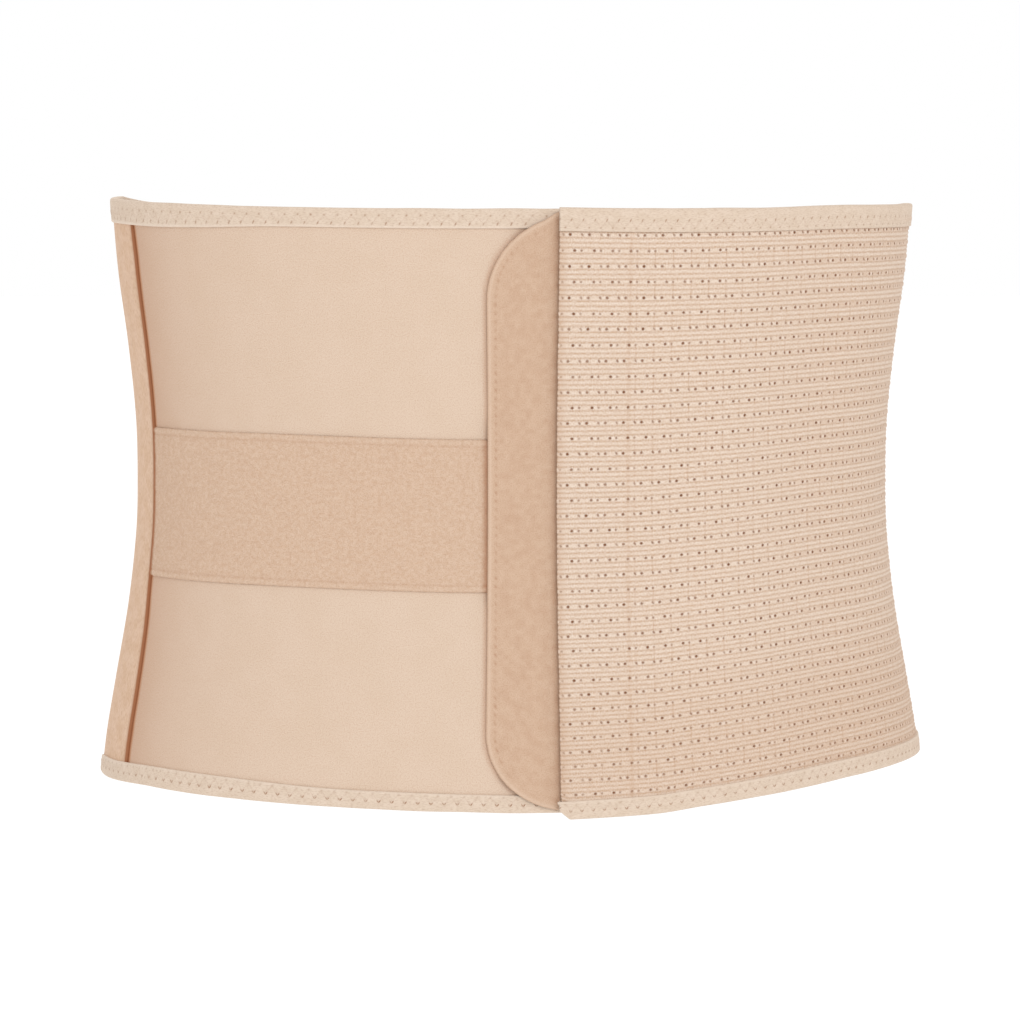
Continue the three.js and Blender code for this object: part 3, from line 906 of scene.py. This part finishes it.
def left_front_panel(material):
    """The plush panel, puckered and darkened along its seam, with painted shade that deepens towards the
    seam and a painted shadow beside the tab.
    """
    seam_side = PANEL_START + np.array([0.0, 0.25, 0.6, 1.0, 1.4, 2.2, 3.2])
    places = np.concatenate([[STRIP_STOP], seam_side, steps_between(PANEL_START + 4.6, PANEL_STOP, 1.3)])
    around, height = between_tapes(places, 121)
    from_seam = around - PANEL_START
    body = PANEL_THICKNESS * (0.4 + 0.6 * edge_roll(from_seam, 1.8))
    body = body + 0.1 * patchy(around, height, (38.0, 30.0), 21) * smooth_step(from_seam / 12)
    pucker = bell((from_seam - 4.0) / 3.0)
    body = body + 0.14 * pucker * patchy(around, height, (30.0, 7.0), 22)
    # The seam's darkness, partly painted shade, then painted warm shade that deepens towards the seam,
    # where the panel turns from the light, and a painted shadow beside the tab
    shade = seam_shade(from_seam) + 0.4 * np.exp(-from_seam / 26.0)
    shade = np.clip(shade + painted_contact_shadow(-tab_inward(around, height), 0.3, 1.9), 0.0, 1.0)
    piece = sheet_object("left_front_panel_cloth", around, height, body, 0.0, shade)
    finish_piece(
        piece, "plush_laminate", material, ["left_front_panel"],
        flat=(PANEL_STOP - PANEL_START, HEIGHT), held="stretched",
    )


def side_strip(material):
    """The narrow strip between the panel's seam and the elastic's end."""
    ends = np.array([0.0, 0.25, 0.6, 1.0, 1.4, 2.2])
    middle = steps_between(STRIP_START + 3.4, STRIP_STOP - 3.4, 1.4)
    elastic_end = ELASTIC_STOP - GIRTH
    places = np.concatenate([[elastic_end], STRIP_START + ends, middle, (STRIP_STOP - ends)[::-1]])
    around, height = between_tapes(places, 91)
    from_seam = np.minimum(around - STRIP_START, STRIP_STOP - around)
    body = STRIP_THICKNESS * (0.4 + 0.6 * edge_roll(from_seam, 1.8))
    body = body + 0.12 * patchy(around, height, (6.0, 60.0), 31) * smooth_step(from_seam / 6)
    # Darker at both seams: their own dark stitching and painted shade in their grooves
    shade = seam_shade(from_seam)
    piece = sheet_object("side_strip_cloth", around, height, body, 0.0, shade)
    finish_piece(
        piece, "smooth_strip", material, ["side_strip"],
        flat=(STRIP_STOP - STRIP_START, HEIGHT), held="stretched",
    )


def loop_band(material):
    """The band of loop pile, with a selvedge and a sewn dip along its two edges."""
    places = steps_between(PANEL_START + BAND_SETBACK, TAB_STOP, 0.8)
    ends = np.array([0.0, 0.2, 0.5, 0.9, 1.4, 2.0])
    low = -BAND_DROP - BAND_HEIGHT / 2
    high = low + BAND_HEIGHT
    rows = np.concatenate([low + ends, steps_between(low + 2.7, high - 2.7, 0.8), (high - ends)[::-1]])
    height = np.broadcast_to(rows[None, :], (len(places), len(rows)))
    around = np.broadcast_to(places[:, None], height.shape)
    from_end = np.minimum(height - low, high - height)
    selvedge = bell((from_end - 1.1) / 0.8)
    loops = np.sin(2 * math.pi * around / 1.9)
    body = BAND_THICKNESS * (0.15 + 0.85 * edge_roll(from_end, 1.8))
    body = body + 0.12 * selvedge * loops
    body = body + 0.09 * patchy(around, height, (1.7, 1.5), 41) * smooth_step((from_end - 1.5) / 1.5)
    dip = bell((from_end - 2.6) / 0.5)
    body = body - 0.15 * dip
    edge_wave = 0.12 * loops * (1 - edge_roll(from_end, 1.2)) * np.sign(height - low - BAND_HEIGHT / 2)
    shade = 0.16 * dip + 0.06 * patchy(around, height, (1.7, 1.5), 42) - 0.3 * selvedge * (1 + loops) / 2
    # Painted shadow beside the tab's edge
    shade = shade + painted_contact_shadow(TAB_EDGE - around, 0.65, 2.5)
    from_seam = around - PANEL_START
    # Painted warm shade that deepens towards the seam, and at the band's end the seam's dark line painted
    # on: its stitching and the shade in its groove
    shade = shade + 0.12 * np.exp(-from_seam / 26.0) + 0.9 * (1 - smooth_step((from_seam - 2.0) / 1.6))
    shade = np.clip(shade, -1.0, 1.0)
    height = height + edge_wave - BAND_SAG * smooth_step((around + 110) / 100)
    under = PANEL_THICKNESS - BAND_SINK
    piece = sheet_object("loop_band_cloth", around, height, BAND_OFFSET + body, under, shade)
    finish_piece(
        piece, "loop_pile", material, ["loop_band"],
        flat=(TAB_STOP - PANEL_START - BAND_SETBACK, BAND_HEIGHT),
        held="laid", rests_on=["left_front_panel_cloth"],
    )


def corner_cut(around, radius):
    """How far a rounded corner of the tab cuts in from its straight top or bottom edge."""
    run = np.clip(TAB_EDGE + radius - around, 0.0, radius)
    return radius - np.sqrt(radius**2 - run**2)


def edge_distance(around, height, end, radius):
    """Distance in from the tab's edge near one end, its rounded corner taken in."""
    from_side = around - TAB_EDGE
    from_end = np.abs(end - height)
    in_corner = (from_side < radius) & (from_end < radius)
    to_arc = radius - np.hypot(radius - from_side, radius - from_end)
    return np.where(in_corner, to_arc, np.minimum(from_side, from_end))


def tab_low(around):
    return left_bottom(around) + TAB_BOTTOM_SETBACK


def tab_high(around):
    rise = TAB_TOP_RISE * smooth_step((around - ELASTIC_EDGE + 6) / 6)
    return left_top(around) - TAB_TOP_SETBACK + rise


def tab_inward(around, height):
    """Distance in from the tab's outline, which is negative at its corners and its side outside it."""
    return np.minimum(
        edge_distance(around, height, tab_low(around), TAB_BOTTOM_RADIUS),
        edge_distance(around, height, tab_high(around), TAB_TOP_RADIUS),
    )


def tab_rest(around, height):
    """The tab's distance out, which sinks at its free side to the panel, the band and the tapes."""
    over_band = smooth_step((BAND_HEIGHT / 2 + BAND_SAG + 7 - np.abs(height + BAND_DROP)) / 5)
    over_tapes = smooth_step((np.abs(height) - HEIGHT / 2 + LEFT_TOP_FOLD + 8) / 5)
    lowest = PANEL_THICKNESS + TAB_SINK
    rest = lowest + (TAB_OFFSET - lowest) * np.maximum(over_band, over_tapes)
    return rest + (TAB_OFFSET - rest) * smooth_step((around - TAB_EDGE - 4) / 16)


def closure_tab(material):
    """The plush tab, with a turned edge and a line of stitches that follows it."""
    corner = TAB_EDGE + TAB_TOP_RADIUS * (1 - np.cos(np.linspace(0, math.pi / 2, 72)))
    places = np.concatenate([corner[:-1], steps_between(TAB_EDGE + TAB_TOP_RADIUS, TAB_STOP, 1.5)])
    low = (tab_low(places) + corner_cut(places, TAB_BOTTOM_RADIUS))[:, None]
    high = (tab_high(places) - corner_cut(places, TAB_TOP_RADIUS))[:, None]
    ends = np.array([0.0, 0.15, 0.4, 0.8, 1.3, 1.9, 2.5, 3.1])
    middle = np.linspace(0, 1, 240)
    inner_low = low + 3.9
    inner_high = high - 3.9
    height = np.concatenate(
        [low + ends, inner_low + (inner_high - inner_low) * middle, (high - ends)[:, ::-1]], axis=1
    )
    around = np.broadcast_to(places[:, None], height.shape)
    inward = tab_inward(around, height)
    stitch_line = bell((inward - TAB_STITCH_LINE) / 0.5)
    stitches = (0.5 - 0.5 * np.cos(2 * math.pi * (height + 0.6 * around) / TAB_STITCH_PITCH)) ** 3
    stitches = stitches * (0.6 + 0.4 * patchy(around, height, (9.0, 5.0), 54))
    body = TAB_THICKNESS * (0.3 + 0.7 * edge_roll(inward, 1.0))
    body = body - stitch_line * (0.06 + 0.2 * stitches)
    plush = smooth_step((inward - 3.4) / 1.5)
    body = body + plush * (
        0.08 * patchy(around, height, (2.1, 2.0), 51) + 0.02 * patchy(around, height, (14.0, 11.0), 52)
    )
    shade = stitch_line * (0.03 + 0.6 * stitches) + plush * 0.1 * patchy(around, height, (2.1, 2.0), 53)
    shade = shade + 0.05 * plush - 0.4 * bell((inward - 1.0) / 0.6)
    # Painted shadow beside the elastic's edge, which lies over the tab
    shade = np.clip(shade + painted_contact_shadow(ELASTIC_EDGE - around, 0.25, 2.6), -1.0, 1.0)
    under = tab_rest(around, height)
    piece = sheet_object("closure_tab_cloth", around, height, under + body, under - TAB_SINK, shade)
    area = (TAB_STOP - TAB_START) * HEIGHT * TAB_AREA_SHARE * MM * MM
    finish_piece(
        piece, "brushed_tab", material, ["closure_tab"],
        flat=(TAB_STOP - TAB_START, HEIGHT), area=area,
        held="laid", rests_on=["loop_band_cloth", "left_front_panel_cloth"],
    )


def tape_section(thickness, fold):
    """Outline of a folded tape, from its outer free edge over the rim and back.

    Each row has the distance out, the distance in from the rim and the distance along the tape. The first
    points of the list, up to the returned count, are those of the outer face.
    """
    face_in = -TAPE_CLEARANCE
    face_out = thickness + TAPE_CLEARANCE
    skin_in = face_in - TAPE_SKIN
    skin_out = face_out + TAPE_SKIN
    radius = 1.1
    points = [(thickness - TAPE_SINK, fold), (skin_out - 0.3, fold + 0.02), (skin_out + 0.06, fold - 0.35)]
    for inward in np.linspace(fold - 0.9, radius + 0.5, 12):
        points.append((skin_out, inward))
    outer_count = len(points)
    for angle in np.linspace(0, math.pi / 2, 5):
        points.append((skin_out - radius * (1 - math.cos(angle)), radius * (1 - math.sin(angle))))
    for angle in np.linspace(0, math.pi / 2, 4):
        points.append((skin_in + radius * (1 - math.sin(angle)), radius * (1 - math.cos(angle))))
    points += [(skin_in, fold / 2), (skin_in, fold), (face_in, fold)]
    points += [(face_in, TAPE_SKIN), (face_out, TAPE_SKIN), (face_out, fold / 2)]
    out = np.array([point[0] for point in points])
    inward = np.array([point[1] for point in points])
    along = np.concatenate([[0.0], np.cumsum(np.hypot(np.diff(out), np.diff(inward)))])
    return out, inward, along, outer_count


def binding(
    name, thread, start, stop, offset, thickness, rim, way_in, fold, stitch, marks, lip,
    widths=EVEN_WIDTHS, cut=no_offset,
):
    """A folded tape over a rim, and the zigzag stitches that hold it.

    offset and thickness are those of the sheet below, stitch is the stitches' pitch along the rim and the
    distances in from it of their two rows, marks are the looks of the stitch marks and lip how strong the
    painted highlight along the tape's lip is, and cut is how far the rim is cut away, which the tape's lip
    doesn't follow.
    """
    material = binding_tape(name.replace("_", " ") + " tape", marks, lip)
    pitch, upper, lower = stitch
    count = round((stop - start) / pitch * COLUMNS_PER_STITCH) + 1
    places = np.linspace(start, stop, count)
    out, inward, along, outer_count = tape_section(thickness, fold)
    around = np.broadcast_to(places[:, None], (count, len(out)))
    width = table_value(widths, "share", places)
    number = np.arange(count) % COLUMNS_PER_STITCH
    outer = np.arange(len(out)) < outer_count
    dimple = np.zeros(around.shape)
    for remainder, row in ((0, upper), (HALF_STITCH, lower)):
        here = bell((inward - row) / 0.42) * outer
        dimple[number == remainder] += here
    middle_row = bell((inward - (upper + lower) / 2) / (lower - upper) * 1.3) * outer
    puff = 0.06 * middle_row[None, :] + 0.05 * patchy(around, along[None, :], (2.4, 1.4), 61) * outer
    wave = 0.18 * patchy(around, np.zeros_like(around), (17.0, 1.0), 62)
    shift = out[None, :] + puff - NEEDLE_DIMPLE * dimple
    from_rim = inward[None, :] * width[:, None] + wave * smooth_step(2 - inward / fold * 2)
    uncut = cut(places)[:, None] * np.clip(inward / fold, 0.0, 1.0)
    height = rim(around) + way_in * (from_rim - uncut)
    curl = FLAP_CURL * uncut / FLAP_CHAMFER * bell((inward - fold + 0.5) / 0.5) * outer
    points = cloth_points(around - curl, height, offset(around) + shift)
    # Painted shade in the needle dimples
    cloth = np.stack(np.broadcast_arrays(around, along[None, :], 0.25 * dimple), axis=-1)
    stitches = np.arange(count)[:, None] / COLUMNS_PER_STITCH
    row = np.where(outer, (inward - upper) / (lower - upper), -FAR)[None, :]
    from_lip = np.where(outer, fold - inward, FAR)[None, :]
    weave = np.stack(np.broadcast_arrays(stitches, row, from_lip), axis=-1)
    ids = np.arange(around.size).reshape(around.shape)
    closed = np.concatenate([ids, ids[:, :1]], axis=1)
    sides = quads(closed)
    if way_in > 0:
        sides = sides[:, ::-1]
    caps = section_caps(out, inward, ids, way_in)
    piece = mesh_object(name + "_tape", points, sides, caps, cloth, weave=weave)
    # The fourth point from the last is the tape's inner free edge
    finish_piece(
        piece, "binding_tape", material, [name + "_binding"],
        flat=(stop - start, along[-4]), held="folded",
    )
    sewn = zigzag(
        name + "_stitches", places, number, rim, way_in, offset,
        thickness + TAPE_CLEARANCE + TAPE_SKIN, upper, lower, width,
    )
    finish_piece(sewn, "binding_tape", thread)


def section_caps(out, inward, ids, way_in):
    """Triangles that close the two ends of a folded tape."""
    triangles = tessellate_polygon([[Vector((o, i, 0.0)) for o, i in zip(out, inward)]])
    faces = []
    for a, b, c in triangles:
        turn = (out[b] - out[a]) * (inward[c] - inward[a]) - (out[c] - out[a]) * (inward[b] - inward[a])
        if (turn > 0) != (way_in > 0):
            b, c = c, b
        faces.append((ids[0, a], ids[0, b], ids[0, c]))
        faces.append((ids[-1, a], ids[-1, c], ids[-1, b]))
    return np.array(faces)


def zigzag(name, places, number, rim, way_in, offset, skin, upper, lower, width):
    """One thread that zigzags between two rows of needle holes and sinks into each."""
    holes = [k for k in range(1, len(places) - 1) if number[k] % HALF_STITCH == 0]
    at = places[holes]
    row = np.where(number[holes] == 0, upper, lower)
    t = np.arange(THREAD_STEPS) / THREAD_STEPS
    around = (at[:-1, None] + np.diff(at)[:, None] * t).ravel()
    inward = (row[:-1, None] + np.diff(row)[:, None] * t).ravel()
    lift = np.tile(0.34 * np.sin(math.pi * t) ** 0.5 - 0.3, len(at) - 1)
    height = rim(around) + way_in * inward * np.interp(around, places, width)
    centre = cloth_points(around, height, offset(around) + skin + lift)
    return thread_object(name, centre, around)


def thread_object(name, centre, around):
    """A tube along a line of points."""
    ahead = np.gradient(centre, axis=0)
    ahead /= np.linalg.norm(ahead, axis=1, keepdims=True)
    outward = centre * np.array([1.0, 1.0, 0.0])
    outward -= ahead * np.sum(outward * ahead, axis=1, keepdims=True)
    outward /= np.linalg.norm(outward, axis=1, keepdims=True)
    side = np.cross(ahead, outward)
    angles = np.arange(THREAD_SIDES) / THREAD_SIDES * 2 * math.pi
    away = np.cos(angles)[None, :, None] * outward[:, None, :]
    aside = np.sin(angles)[None, :, None] * side[:, None, :]
    ring = THREAD_RADIUS * MM * (away + aside)
    points = centre[:, None, :] + ring
    ids = np.arange(points.shape[0] * THREAD_SIDES).reshape(-1, THREAD_SIDES)
    closed = np.concatenate([ids, ids[:, :1]], axis=1)
    fans = [(ids[0, 0], ids[0, k + 1], ids[0, k]) for k in range(1, THREAD_SIDES - 1)]
    fans += [(ids[-1, 0], ids[-1, k], ids[-1, k + 1]) for k in range(1, THREAD_SIDES - 1)]
    cloth = np.zeros(points.shape)
    cloth[..., 0] = around[:, None]
    return mesh_object(name, points, quads(closed), np.array(fans), cloth)


def bindings():
    """The four folded tapes, with the looks and the stitches of each."""
    thread = sewing_thread()
    left = (STRIP_START, PANEL_STOP, no_offset, max(PANEL_THICKNESS, STRIP_THICKNESS))
    elastic = (ELASTIC_EDGE, ELASTIC_STOP, elastic_offset, ELASTIC_THICKNESS)
    flap = (ELASTIC_EDGE - FLAP_OVERHANG, ELASTIC_STOP, elastic_offset, ELASTIC_THICKNESS)
    binding(
        "left_top", thread, *left, left_top, -1, LEFT_TOP_FOLD,
        (5.2, 6.2, 2.9), SLANTED_UP_MARKS, 0.6, LEFT_TOP_WIDTHS,
    )
    binding(
        "left_bottom", thread, *left, left_bottom, 1, LEFT_BOTTOM_FOLD,
        (4.75, 3.2, 5.9), VEE_MARKS, 0.3, LEFT_BOTTOM_WIDTHS,
    )
    binding(
        "elastic_top", thread, *elastic, elastic_top, -1, ELASTIC_TOP_FOLD,
        (4.3, 4.9, 8.0), SLANTED_DOWN_MARKS, 0.15,
    )
    binding(
        "elastic_bottom", thread, *flap, elastic_bottom, 1, ELASTIC_BOTTOM_FOLD,
        (3.95, 3.4, 5.9), VEE_MARKS, 0.3, cut=flap_cut,
    )


# Stage


def stage_floor():
    """A plain white studio floor, far below the binder."""
    sides = 64
    points = [(0.0, 0.0, FLOOR_LEVEL)]
    for k in range(sides):
        turn = 2 * math.pi * k / sides
        points.append((FLOOR_RADIUS * math.cos(turn), FLOOR_RADIUS * math.sin(turn), FLOOR_LEVEL))
    faces = [(0, k + 1, (k + 1) % sides + 1) for k in range(sides)]
    mesh = bpy.data.meshes.new("floor")
    mesh.from_pydata(points, [], faces)
    nodes = Nodes("floor")
    set_sockets(nodes.shader, {
        "Base Color": (0.97, 0.97, 0.97, 1.0),
        "Roughness": 0.9,
        "Emission Color": (1.0, 1.0, 1.0, 1.0),
        "Emission Strength": 0.1,
    })
    nodes.material.cycles.emission_sampling = "NONE"
    mesh.materials.append(nodes.material)
    floor = scene_object("floor", mesh)


def area_light(name, place, size, power):
    """A square lamp that is aimed at the binder's middle."""
    data = bpy.data.lights.new(name, "AREA")
    data.shape = "SQUARE"
    data.size = size
    data.energy = power
    lamp = scene_object(name, data)
    lamp.location = place
    lamp.rotation_euler = (-lamp.location).to_track_quat("-Z", "Y").to_euler()


def lights():
    world = bpy.data.worlds.new("studio")
    world.use_nodes = True
    background = world.node_tree.nodes["Background"]
    set_sockets(background, {"Color": (1.0, 1.0, 1.0, 1.0), "Strength": 1.0})
    bpy.context.scene.world = world
    area_light("key", (0.8, -2.6, 1.3), 0.9, 19.5)
    area_light("fill", (-1.8, -2.2, 0.3), 1.6, 3.0)
    area_light("back", (-0.6, 2.6, 1.2), 1.2, 14.0)


def camera():
    data = bpy.data.cameras.new("camera")
    data.lens = CAMERA_LENS
    data.sensor_width = CAMERA_SENSOR
    data.clip_end = 100.0
    thing = scene_object("camera", data)
    thing.location = CAMERA_PLACE
    thing.rotation_euler = (math.radians(90 - CAMERA_PITCH), 0.0, 0.0)
    bpy.context.scene.camera = thing


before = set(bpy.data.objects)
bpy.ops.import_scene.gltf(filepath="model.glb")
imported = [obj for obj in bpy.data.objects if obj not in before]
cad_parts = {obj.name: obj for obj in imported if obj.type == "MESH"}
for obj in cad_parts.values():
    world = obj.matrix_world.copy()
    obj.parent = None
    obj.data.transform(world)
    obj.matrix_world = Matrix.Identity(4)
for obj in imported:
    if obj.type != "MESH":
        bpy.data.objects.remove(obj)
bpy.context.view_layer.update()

camera()
lights()
stage_floor()
elastic_panel(ribbed_elastic())
left_front_panel(plush_laminate())
side_strip(smooth_strip())
loop_band(loop_pile())
closure_tab(brushed_tab())
bindings()

bpy.context.scene.view_settings.view_transform = "Standard"
